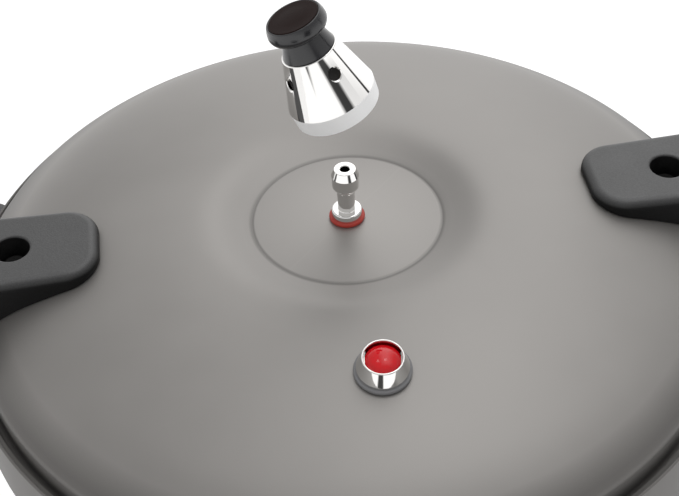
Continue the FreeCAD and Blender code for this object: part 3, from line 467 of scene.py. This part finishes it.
def polished_finish(name, rgb, rough_low, rough_high, metallic=1.0):
    """Polished metal with faint wiping marks."""
    tree, shader = new_finish(name, Metallic=metallic)
    coords = object_coords(tree)
    cloud = noise(tree, coords, 60.0, 3.0)
    fine = noise(tree, coords, 900.0, 2.0)
    base = blended(tree, cloud, shade(rgb, 0.96), shade(rgb, 1.03))
    tree.links.new(base, shader.inputs["Base Color"])
    tree.links.new(spread(tree, cloud, rough_low, rough_high), shader.inputs["Roughness"])
    tree.links.new(bumped(tree, fine, 0.000004, 0.5), shader.inputs["Normal"])


def plastic_finish(name, rgb, rough_low, rough_high, grain_depth=0.00001, **sockets):
    """Smooth moulded plastic or rubber."""
    tree, shader = new_finish(name, **sockets)
    coords = object_coords(tree)
    cloud = noise(tree, coords, 120.0, 3.0)
    fine = noise(tree, coords, 2200.0, 2.0)
    tree.links.new(blended(tree, cloud, shade(rgb, 0.88), shade(rgb, 1.1)), shader.inputs["Base Color"])
    tree.links.new(spread(tree, cloud, rough_low, rough_high), shader.inputs["Roughness"])
    tree.links.new(bumped(tree, fine, grain_depth, 0.6), shader.inputs["Normal"])


NODE_FINISH = {
    "anodised": "anodised",
    "plain_steel": "plain_steel",
    "polished_steel": "polished_steel",
    "black_moulding": "moulding",
    "bare_aluminium": "bare_aluminium",
    "black_rubber": "black_rubber",
    "red_silicone": "red_silicone",
    "grey_rubber": "grey_rubber",
    "brass_core": "brass",
    "knob_black": "knob_black",
    "dark_brown_gloss": "disc_brown",
    "red_gloss": "float_red",
}


class CANNER_OT_finishes(bpy.types.Operator):
    """Makes every finish and gives each node of the frame its own"""
    bl_idname = "canner.finishes"
    bl_label = "Finishes"

    def execute(self, context):
        colours = context.scene.canner_finishes
        anodised_finish(colours.anodised)
        moulding_finish(colours.moulding)
        polished_finish("polished_steel", (0.80, 0.79, 0.775), 0.03, 0.07)
        polished_finish("satin_steel", (0.80, 0.80, 0.80), 0.40, 0.50, metallic=0.2)
        # Near-black steel for the bell's inside: painted shade, so the steam holes look dark.
        polished_finish("shade_inside", (0.045, 0.042, 0.040), 0.45, 0.60, metallic=0.4)
        polished_finish("plain_steel", (0.55, 0.55, 0.56), 0.22, 0.34)
        polished_finish("bare_aluminium", (0.68, 0.68, 0.69), 0.30, 0.42)
        polished_finish("brass", (0.20, 0.14, 0.07), 0.40, 0.52)
        plastic_finish("knob_black", colours.knob, 0.16, 0.24, Specular_IOR_Level=0.6)
        plastic_finish("disc_brown", (0.014, 0.007, 0.006), 0.16, 0.22, Specular_IOR_Level=0.05)
        plastic_finish("float_red", colours.float_red, 0.05, 0.09, Specular_IOR_Level=0.45)
        plastic_finish("red_silicone", colours.silicone, 0.42, 0.52, 0.00003)
        plastic_finish("grey_rubber", (0.16, 0.16, 0.165), 0.50, 0.60, 0.00003)
        plastic_finish("black_rubber", (0.020, 0.020, 0.021), 0.42, 0.55, 0.00003)
        for name, piece in frame["nodes"].items():
            piece.data.materials.clear()
            piece.data.materials.append(finish(NODE_FINISH[SLOT_OF[name]]))
        return {"FINISHED"}


# ---- lid

# Radius and slope along the dome, in millimetres and degrees, falling outwards. The slope's
# sine runs straight between the stations and is eased over DOME_BLEND at each side of them.
DOME = ((41.5, -8.0), (50.0, -26.1), (62.0, 0.0), (140.0, 18.0), (163.9, 41.0))
DOME_STEP = 0.5
DOME_BLEND = 7.0
DOME_SAMPLES = 4
LUGS = 8
LUG_SPAN = math.radians(19)
LUG_HEIGHT = 4.0
LUG_REACH = 9.0
PIPE_HOLE = 5.2
INDICATOR_HOLE = 4.4
GROOVE = 0.35
GROOVE_IN, GROOVE_LOW, GROOVE_OUT = -1.2, -0.5, 0.3
SKIRT = 3.0
CHANNEL_WALL = 3.0
TROUGH_FLOOR = 2.5


def slope_sine(radius):
    """Sine of the dome's slope, straight between its stations."""
    for (r0, slope0), (r1, slope1) in zip(DOME, DOME[1:]):
        if radius <= r1:
            break
    share = (radius - r0) / (r1 - r0)
    return (1 - share) * math.sin(math.radians(slope0)) + share * math.sin(math.radians(slope1))


def dome_points():
    """The dome as (radius, height, sine of slope), its curvature eased over each station."""
    first, last = DOME[0][0], DOME[-1][0]
    count = round((last - first) / DOME_STEP)
    points = []
    height = 0.0
    for k in range(count + 1):
        radius = first + (last - first) * k / count
        reach = min(DOME_BLEND, radius - first, last - radius)
        near = [slope_sine(radius + reach * j / DOME_SAMPLES) for j in range(-DOME_SAMPLES, DOME_SAMPLES + 1)]
        sine = sum(near) / len(near)
        if points:
            height -= math.tan(math.asin((sine + points[-1][2]) / 2)) * (radius - points[-1][0])
        points.append((radius, height, sine))
    return points


def off_dome(point, offset):
    """Point of the dome moved along its normal."""
    radius, height, sine = point
    return (radius + offset * sine, height + offset * math.sqrt(1 - sine * sine))


def lid_outline(lid):
    """Section of the lid: dome, trough, lip, skirt, channel, rib and inside."""
    dome = dome_points()
    thin = dome[::4] + dome[-1:]
    skirt_in = lid.edge_radius + lid.trough_width
    skirt_out = skirt_in + SKIRT
    low = (LID_LOW.z - LID_Z) / MM
    half = lid.trough_width / 2
    lip = SKIRT / 4
    under = -lid.trough_depth - TROUGH_FLOOR
    foot = lid.edge_radius - CHANNEL_WALL
    channel_in = foot - lid.channel_width
    rib = channel_in - CHANNEL_WALL
    end = dome[-1]
    edge_z = end[1] - 2.4
    trough_z = -lid.trough_depth + half
    crease = DOME[0][0]
    outline = [(PIPE_HOLE, 0), (crease + GROOVE_IN, 0), (crease + GROOVE_LOW, -GROOVE),
               (crease + GROOVE_OUT, -GROOVE)]
    outline += [off_dome(point, 0) for point in thin[1:]]
    outline += line(outline[-1], ((end[0] + 0.72, end[1] - 0.95), (lid.edge_radius, edge_z)),
                    (lid.edge_radius, trough_z),
                    ((lid.edge_radius + half, -lid.trough_depth), (skirt_in, trough_z)),
                    (skirt_in, -lid.lip_drop - lip - 0.5),
                    (skirt_out - 2 * lip, -lid.lip_drop - lip),
                    ((skirt_out - lip, -lid.lip_drop), (skirt_out, -lid.lip_drop - lip)),
                    (skirt_out, low + 1),
                    ((skirt_out - 0.3, low + 0.3), (skirt_out - 1, low)),
                    (skirt_in, low), (skirt_in, under),
                    (foot, under), (foot, -lid.channel_roof),
                    (channel_in, -lid.channel_roof), (channel_in, -lid.rib_drop),
                    (rib, -lid.rib_drop))[1:]
    inside = [off_dome(point, -lid.wall) for point in thin]
    return outline + [point for point in reversed(inside) if point[0] < rib] + [(PIPE_HOLE, -lid.wall)]


def bayonet_lugs(inner, outer, low, high, first):
    """Eight lugs round a rim, with eased edges."""
    lugs = []
    for k in range(LUGS):
        lugs.append(sector(f"lug_{k}", inner, outer, low, high, first + k * TURN / LUGS, LUG_SPAN))
    made = join(lugs)
    apply(made, "BEVEL", width=0.4 * MM, segments=2, limit_method="ANGLE", angle_limit=math.radians(50))
    return made


class CANNER_OT_lid(bpy.types.Operator):
    """Domed lid with its edge trough, skirt, ring channel and bayonet lugs"""
    bl_idname = "canner.lid"
    bl_label = "Lid"

    def execute(self, context):
        lid = in_mm(context.scene.canner_lid)
        shell = lathe("lid", on_lid(lid_outline(lid)), segments=288)
        skirt_in = lid.edge_radius + lid.trough_width
        low = LID_LOW.z / MM + 2
        lugs = bayonet_lugs(skirt_in - LUG_REACH, skirt_in + SKIRT / 2, low, low + LUG_HEIGHT,
                            TURN / LUGS / 2)
        cut(shell, lugs, "UNION")
        drill = lathe("drill", [(0, -8), (INDICATOR_HOLE, -8), (INDICATOR_HOLE, 4), (0, 4)], 64)
        place(drill, indicator_matrix(context.scene.canner_indicator.place_radius / MM))
        cut(shell, drill)
        smooth(shell)
        apply(shell, "WEIGHTED_NORMAL", keep_sharp=True)
        finish_piece(shell, "lid_shell", "anodised")
        return {"FINISHED"}


# ---- vent pipe

STEM = 4.9
THREAD_PITCH = 1.0
THREAD_DEPTH = 0.45
THREAD_TOP = -4.0


class CANNER_OT_vent(bpy.types.Operator):
    """Vent pipe with its collar, waisted neck and coned head, on a red gasket"""
    bl_idname = "canner.vent"
    bl_label = "Vent pipe"

    def execute(self, context):
        vent = in_mm(context.scene.canner_vent)
        stem_low = (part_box("vent_pipe")[0].z - LID_Z) / MM
        outline = [(vent.bore, stem_low), (STEM - 0.5, stem_low), (STEM, stem_low + 0.5)]
        for k in range(1, int((THREAD_TOP - stem_low) / THREAD_PITCH)):
            crest = stem_low + k * THREAD_PITCH
            outline += [(STEM, crest), (STEM - THREAD_DEPTH, crest + THREAD_PITCH / 2)]
        outline += line((STEM, THREAD_TOP), (STEM, vent.gasket_height),
                        (vent.collar_radius, vent.gasket_height),
                        (vent.collar_radius, vent.collar_top - 0.8),
                        ((vent.collar_radius - 0.23, vent.collar_top - 0.23),
                         (vent.collar_radius - 0.8, vent.collar_top)),
                        (vent.neck_radius, vent.collar_top),
                        ((vent.neck_radius - 0.17, vent.collar_top + 0.15),
                         (vent.neck_radius - 0.2, vent.collar_top + 0.5)),
                        (vent.neck_radius, vent.neck_top - 1.5),
                        ((vent.neck_radius + 0.25, vent.neck_top - 0.75),
                         (vent.neck_radius, vent.neck_top)),
                        (vent.neck_radius + 0.4, vent.neck_top),
                        ((vent.head_radius - 0.5, vent.neck_top + 0.7),
                         (vent.head_radius - 0.15, vent.head_low)),
                        (vent.head_radius - 0.15, vent.head_high - 0.4),
                        (vent.head_radius, vent.head_high),
                        (vent.top_radius, vent.top - 0.25),
                        ((vent.top_radius - 0.08, vent.top - 0.08),
                         (vent.top_radius - 0.3, vent.top)),
                        (vent.bore + 0.3, vent.top), (vent.bore, vent.top - 0.3))
        pipe = lathe("vent_pipe_polished", on_lid(outline), 96)
        apply(pipe, "WEIGHTED_NORMAL", keep_sharp=True)
        finish_piece(pipe, "vent_pipe", "polished_steel")
        inner = 5.05
        outer = vent.gasket_radius
        top = vent.gasket_height
        washer = line((inner, LIFT), (outer - 0.5, LIFT), ((outer - 0.1, 0.4), (outer, top / 2)),
                      ((outer - 0.1, top - 0.4), (outer - 0.5, top)), (inner, top))
        gasket = lathe("vent_gasket_red", on_lid(washer), 96)
        finish_piece(gasket, "vent_gasket", "red_silicone")
        return {"FINISHED"}


# ---- weight

LEAN = math.radians(19.8)
HOLES = 4
HOLE_ANGLE = math.radians(-62.5)
HOLE_BEVEL = 0.8
NECK = 4.0 + FIT
SCREW_HEAD = 3.35
SCREW_DEPTH = 2.5
KNOB_EDGE = 3.4
WELL_DEPTH = 1.3


def weight_matrix(weight):
    """From the weight's own axis, heights from its lower edge, to its place on the ball."""
    lean = Matrix.Rotation(-LEAN, 4, LEAN_AXIS)
    return Matrix.Translation(BALL) @ lean @ Matrix.Translation((0, 0, -weight.ball_height * MM))


def weight_radius(weight, height):
    """Outer radius of the bell's cone at a height."""
    share = (height - weight.wide_height) / (weight.top_height - weight.wide_height)
    return weight.wide_radius + share * (weight.top_radius - weight.wide_radius)


def steam_drills(weight):
    """Four drills with a countersink, square to the cone."""
    radius = weight.hole_radius
    wide = radius + HOLE_BEVEL
    drill = lathe("drill", [(0, -6), (radius, -6), (radius, -0.6), (wide, 0.1), (wide, 3), (0, 3)], 48)
    slope = math.atan2(weight.wide_radius - weight.top_radius, weight.top_height - weight.wide_height)
    out = Matrix.Translation((weight_radius(weight, weight.hole_height) * MM, 0, weight.hole_height * MM))
    place(drill, Matrix.Rotation(HOLE_ANGLE, 4, "Z") @ out @ Matrix.Rotation(math.pi / 2 - slope, 4, "Y"))
    return join(copies(drill, [Matrix.Rotation(k * TURN / HOLES, 4, "Z") for k in range(1, HOLES)]))


class CANNER_OT_weight(bpy.types.Operator):
    """Weight: polished bell with steam holes, moulded collar and knob, glossy disc"""
    bl_idname = "canner.weight"
    bl_label = "Weight"

    def execute(self, context):
        weight = in_mm(context.scene.canner_weight)
        here = weight_matrix(weight)
        shelf = weight.top_height - weight.wall
        bottom, wide, top = weight.bottom_radius, weight.wide_radius, weight.top_radius
        outline = line((bottom - weight.wall, 0), (bottom - 0.5, 0), ((bottom - 0.15, 0.15), (bottom, 0.5)),
                       (wide, weight.wide_height), (top, weight.top_height - 0.5),
                       ((top - 0.15, weight.top_height - 0.15), (top - 0.5, weight.top_height)),
                       (NECK, weight.top_height), (NECK, shelf),
                       (weight_radius(weight, shelf) - weight.wall, shelf),
                       (wide - weight.wall, weight.wide_height))
        bell = lathe("weight_bell", outline, 192, crease=16)
        cut(bell, steam_drills(weight))
        smooth(bell, 16)
        finish_faces(bell, weight)
        place(bell, here)
        finish_piece(bell, "regulator_skirt")
        base = weight.top_height + FIT
        collar_top = base + weight.collar_height
        outline = line((NECK, base), (weight.collar_low_radius - 0.2, base),
                       (weight.collar_low_radius, base + 0.2),
                       ((weight.collar_low_radius - 1.3, base + weight.collar_height / 2),
                        (weight.collar_high_radius, collar_top)), (NECK, collar_top))
        collar = lathe("weight_collar", outline, 96)
        place(collar, here)
        finish_piece(collar, "regulator_collar", "knob_black")
        self.knob(weight, here, collar_top + FIT)
        return {"FINISHED"}

    def knob(self, weight, here, low):
        """Knob with the disc in its well: low is the height of the knob's underside."""
        top = low + weight.knob_height
        radius = weight.knob_radius
        lift = KNOB_EDGE * (1 - math.sqrt(0.5))
        disc = weight.disc_radius
        well = top - WELL_DEPTH
        outline = line((NECK, low), (radius - KNOB_EDGE, low),
                       ((radius - lift, low + lift), (radius, low + KNOB_EDGE)),
                       ((radius - 0.35, top - 2.0), (disc + 0.9, top - 0.4)),
                       ((disc + 0.5, top - 0.1), (disc + FIT, top - 0.3)),
                       (disc + FIT, well), (SCREW_HEAD, well), (SCREW_HEAD, well - SCREW_DEPTH),
                       (NECK, well - SCREW_DEPTH))
        knob = lathe("weight_knob", outline, 128)
        place(knob, here)
        finish_piece(knob, "regulator_knob", "knob_black")
        low = well + FIT
        outline = line((0, low), (disc - 0.3, low), (disc, low + 0.3), (disc, low + 0.9),
                       ((disc - 0.1, low + 1.2), (disc - 0.4, low + 1.3)),
                       (disc * 0.5, low + 1.52), (0, low + 1.62))
        cap = lathe("weight_disc", outline, 128, closed=False)
        place(cap, here)
        finish_piece(cap, "regulator_disc", "disc_brown")


def finish_faces(bell, weight):
    """Second material on the bell's lower outside band, third on its inside: a near-black steel that paints the
    shade inside the bell.
    """
    for name in ("polished_steel", "satin_steel", "shade_inside"):
        bell.data.materials.append(finish(name))
    for face in bell.data.polygons:
        radius = math.hypot(face.center.x, face.center.y) / MM
        height = face.center.z / MM
        surface = weight_radius(weight, max(height, weight.wide_height))
        if radius < surface - weight.wall * 0.75 and height < weight.top_height - weight.wall / 2:
            face.material_index = 2
        elif height < weight.wide_height:
            face.material_index = 1


# ---- pressure indicator

INDICATOR_STEM = 4.2
INDICATOR_STEM_LOW = -9.2
PIN_SLACK = 0.08
FLOAT_GAP = 0.4


def indicator_matrix(place_radius):
    """From the indicator's own axis to its place, square to the dome."""
    dome = dome_points()
    inner, outer = next(pair for pair in zip(dome, dome[1:]) if pair[1][0] >= place_radius)
    share = (place_radius - inner[0]) / (outer[0] - inner[0])
    height = inner[1] + (outer[1] - inner[1]) * share
    slope = inner[2] + (outer[2] - inner[2]) * share
    spot = Vector((0, -place_radius * MM, LID_Z + height * MM))
    return Matrix.Translation(spot) @ Matrix.Rotation(math.asin(slope), 4, "X")


class CANNER_OT_indicator(bpy.types.Operator):
    """Pressure indicator: grey gasket, polished cone and red float"""
    bl_idname = "canner.indicator"
    bl_label = "Pressure indicator"

    def execute(self, context):
        part = in_mm(context.scene.canner_indicator)
        here = indicator_matrix(part.place_radius)
        base, stem, stem_low = part.gasket_height, INDICATOR_STEM, INDICATOR_STEM_LOW
        bore = part.pin_radius + PIN_SLACK
        rim = (part.top_radius + part.bore_radius) / 2
        outline = line((bore, stem_low), (stem - 0.4, stem_low), (stem, stem_low + 0.4),
                       (stem, base), (part.base_radius - 0.2, base), (part.base_radius, base + 0.2),
                       (part.base_radius, base + 1.2), (part.top_radius - 0.15, part.top - 0.7),
                       (part.top_radius, part.top - 0.4),
                       ((rim, part.top), (part.bore_radius, part.top - 0.4)),
                       (part.bore_radius, part.floor), (bore, part.floor))
        cone = lathe("indicator_cone", outline, 128, crease=14)
        place(cone, here)
        finish_piece(cone, "indicator_housing", "polished_steel")
        inner, outer = stem + FIT, part.gasket_radius
        outline = line((inner, LIFT), (outer - 0.5, LIFT), ((outer - 0.1, 0.4), (outer, base / 2)),
                       ((outer - 0.15, base - 0.3), (outer - 0.6, base)), (inner, base))
        gasket = lathe("indicator_gasket_grey", outline, 96)
        place(gasket, here)
        finish_piece(gasket, "indicator_gasket", "grey_rubber")
        self.button(part, here)
        return {"FINISHED"}

    def button(self, part, here):
        """Red button: a drum with a domed top, bored for its pin."""
        low = part.floor + FLOAT_GAP
        bore = part.pin_radius + FIT
        side, radius = part.float_side, part.float_radius
        rise = part.float_top - side
        round_radius = (radius ** 2 + rise ** 2) / (2 * rise)
        half = math.asin(radius / round_radius) / 2
        middle = (round_radius * math.sin(half), part.float_top - round_radius * (1 - math.cos(half)))
        outline = line((bore, low), (radius - 0.5, low),
                       ((radius - 0.15, low + 0.15), (radius, low + 0.5)),
                       (radius, side), (middle, (0, part.float_top)))
        outline += [(0, side + 0.5), (bore, side + 0.5)]
        button = lathe("indicator_button", outline, 128)
        place(button, here)
        finish_piece(button, "indicator_float", "float_red")


# ---- stage

# Dark gaps in the surroundings: middle azimuth, half width and soft edge in degrees, then
# the sines of the lowest and highest elevation.
DARK_GAPS = ((-63.0, 8.0, 8.0, -0.08, 0.30), (3.0, 2.6, 1.0, 0.0, 0.35), (-109.0, 8.0, 5.0, -0.50, -0.28))
GAP_LEVEL = 0.05
GAP_SOFT = 0.06
# Soft box overhead: its level, the middle of its width, and where its sides fall away.
SOFT_BOX = 1.5
BOX_MIDDLE = 0.24
BOX_HALF, BOX_END = 0.12, 0.45
FLOOR_RADIUS = 0.85
SOFT_LIGHTS = {"box_left": (-0.42, 0.12, 1.75), "box_right": (0.30, 0.12, 1.75)}
SOFT_LIGHT_SIZE = 0.26
SENSOR = 36


def white_surroundings(strength, dim):
    """White studio with a long soft box overhead and dark gaps between its cards."""
    world = bpy.data.worlds.new("studio")
    bpy.context.scene.world = world
    world.use_nodes = True
    tree = world.node_tree
    direction = tree.nodes.new("ShaderNodeTexCoord").outputs["Generated"]
    parts = node(tree, "SeparateXYZ", {"Vector": direction}).outputs
    side = distance_from(tree, parts["X"], BOX_MIDDLE)
    across = ranged(tree, side, BOX_HALF, BOX_END, 1.0, 0.0)
    along = ranged(tree, parts["Y"], -0.35, -0.05, 0.0, 1.0)
    box = maths(tree, "MULTIPLY", across, along)
    above = ranged(tree, box, 0.0, 1.0, dim, SOFT_BOX)
    low = ranged(tree, parts["Z"], 0.12, 0.45, 0.0, 1.0)
    level = node(tree, "Mix", {"Factor": low, "A": 1.0, "B": above}).outputs["Result"]
    azimuth = maths(tree, "ARCTAN2", parts["Y"], parts["X"])
    for middle, half, soft, bottom, top in DARK_GAPS:
        away = distance_from(tree, azimuth, math.radians(middle))
        clear = ranged(tree, away, math.radians(half), math.radians(half + soft), GAP_LEVEL, 1.0)
        over = ranged(tree, parts["Z"], top, top + GAP_SOFT, 0.0, 1.0)
        under = ranged(tree, parts["Z"], bottom - GAP_SOFT, bottom, 1.0, 0.0)
        light = maths(tree, "MAXIMUM", clear, maths(tree, "MAXIMUM", over, under))
        level = maths(tree, "MULTIPLY", level, light)
    background = tree.nodes["Background"]
    background.inputs["Color"].default_value = (1, 1, 1, 1)
    tree.links.new(maths(tree, "MULTIPLY", level, strength), background.inputs["Strength"])


def area_light(name, location, aim, size, power):
    bpy.ops.object.light_add(type="AREA", location=location)
    light = bpy.context.object
    light.name = name
    light.data.size = size
    light.data.energy = power
    light.rotation_euler = (Vector(aim) - Vector(location)).to_track_quat("-Z", "Y").to_euler()


class CANNER_OT_stage(bpy.types.Operator):
    """Pale floor, soft studio light and the camera"""
    bl_idname = "canner.stage"
    bl_label = "Stage"

    def execute(self, context):
        stage = context.scene.canner_stage
        context.scene.view_settings.view_transform = "Standard"
        white_surroundings(stage.studio, stage.dim)
        bpy.ops.object.select_all(action="DESELECT")
        bpy.ops.mesh.primitive_circle_add(vertices=96, radius=FLOOR_RADIUS, fill_type="NGON",
                                          location=(0, 0, POT_LOW.z))
        floor = context.object
        floor.name = "floor"
        tree, shader = new_finish("floor_white", Roughness=0.9, Emission_Color=(1, 1, 1, 1),
                                  Emission_Strength=0.25)
        cloud = noise(tree, object_coords(tree), 3.0)
        white = blended(tree, cloud, (0.90, 0.90, 0.90), (0.94, 0.94, 0.94))
        tree.links.new(white, shader.inputs["Base Color"])
        floor.data.materials.append(finish("floor_white"))
        for name, location in SOFT_LIGHTS.items():
            area_light(name, location, (0, 0, LID_Z), SOFT_LIGHT_SIZE, stage.key)
        bpy.ops.object.camera_add(location=stage.camera_place)
        camera = context.object
        sight = Vector(stage.camera_aim) - Vector(stage.camera_place)
        turn = sight.to_track_quat("-Z", "Y") @ Quaternion((0, 0, 1), stage.camera_roll)
        camera.rotation_euler = turn.to_euler()
        camera.data.lens = stage.lens
        camera.data.shift_x = stage.shift
        camera.data.sensor_width = SENSOR
        context.scene.camera = camera
        return {"FINISHED"}


# ---- panel, registration

OPERATORS = [CANNER_OT_finishes, CANNER_OT_lid, CANNER_OT_vent, CANNER_OT_weight, CANNER_OT_indicator,
             CANNER_OT_stage]
GROUPS = {"canner_finishes": CannerFinishes, "canner_lid": CannerLid, "canner_vent": CannerVent,
          "canner_weight": CannerWeight, "canner_indicator": CannerIndicator, "canner_stage": CannerStage}


class CANNER_PT_panel(bpy.types.Panel):
    """Sizes, colours and one button per piece"""
    bl_idname = "CANNER_PT_panel"
    bl_label = "Pressure canner"
    bl_space_type = "VIEW_3D"
    bl_region_type = "UI"
    bl_category = "Canner"

    def draw(self, context):
        for attribute, group in GROUPS.items():
            box = self.layout.box()
            box.label(text=group.__doc__)
            for name in group.__annotations__:
                box.prop(getattr(context.scene, attribute), name)
        for operator in OPERATORS:
            self.layout.operator(operator.bl_idname)


def register():
    for group in GROUPS.values():
        bpy.utils.register_class(group)
    for attribute, group in GROUPS.items():
        setattr(bpy.types.Scene, attribute, PointerProperty(type=group))
    for operator in OPERATORS:
        bpy.utils.register_class(operator)
    bpy.utils.register_class(CANNER_PT_panel)


def unregister():
    bpy.utils.unregister_class(CANNER_PT_panel)
    for operator in reversed(OPERATORS):
        bpy.utils.unregister_class(operator)
    for attribute in GROUPS:
        delattr(bpy.types.Scene, attribute)
    for group in reversed(GROUPS.values()):
        bpy.utils.unregister_class(group)


def main():
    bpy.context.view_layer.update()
    register()
    for operator in OPERATORS:
        family, name = operator.bl_idname.split(".")
        getattr(getattr(bpy.ops, family), name)()


if __name__ == "__main__":
    main()
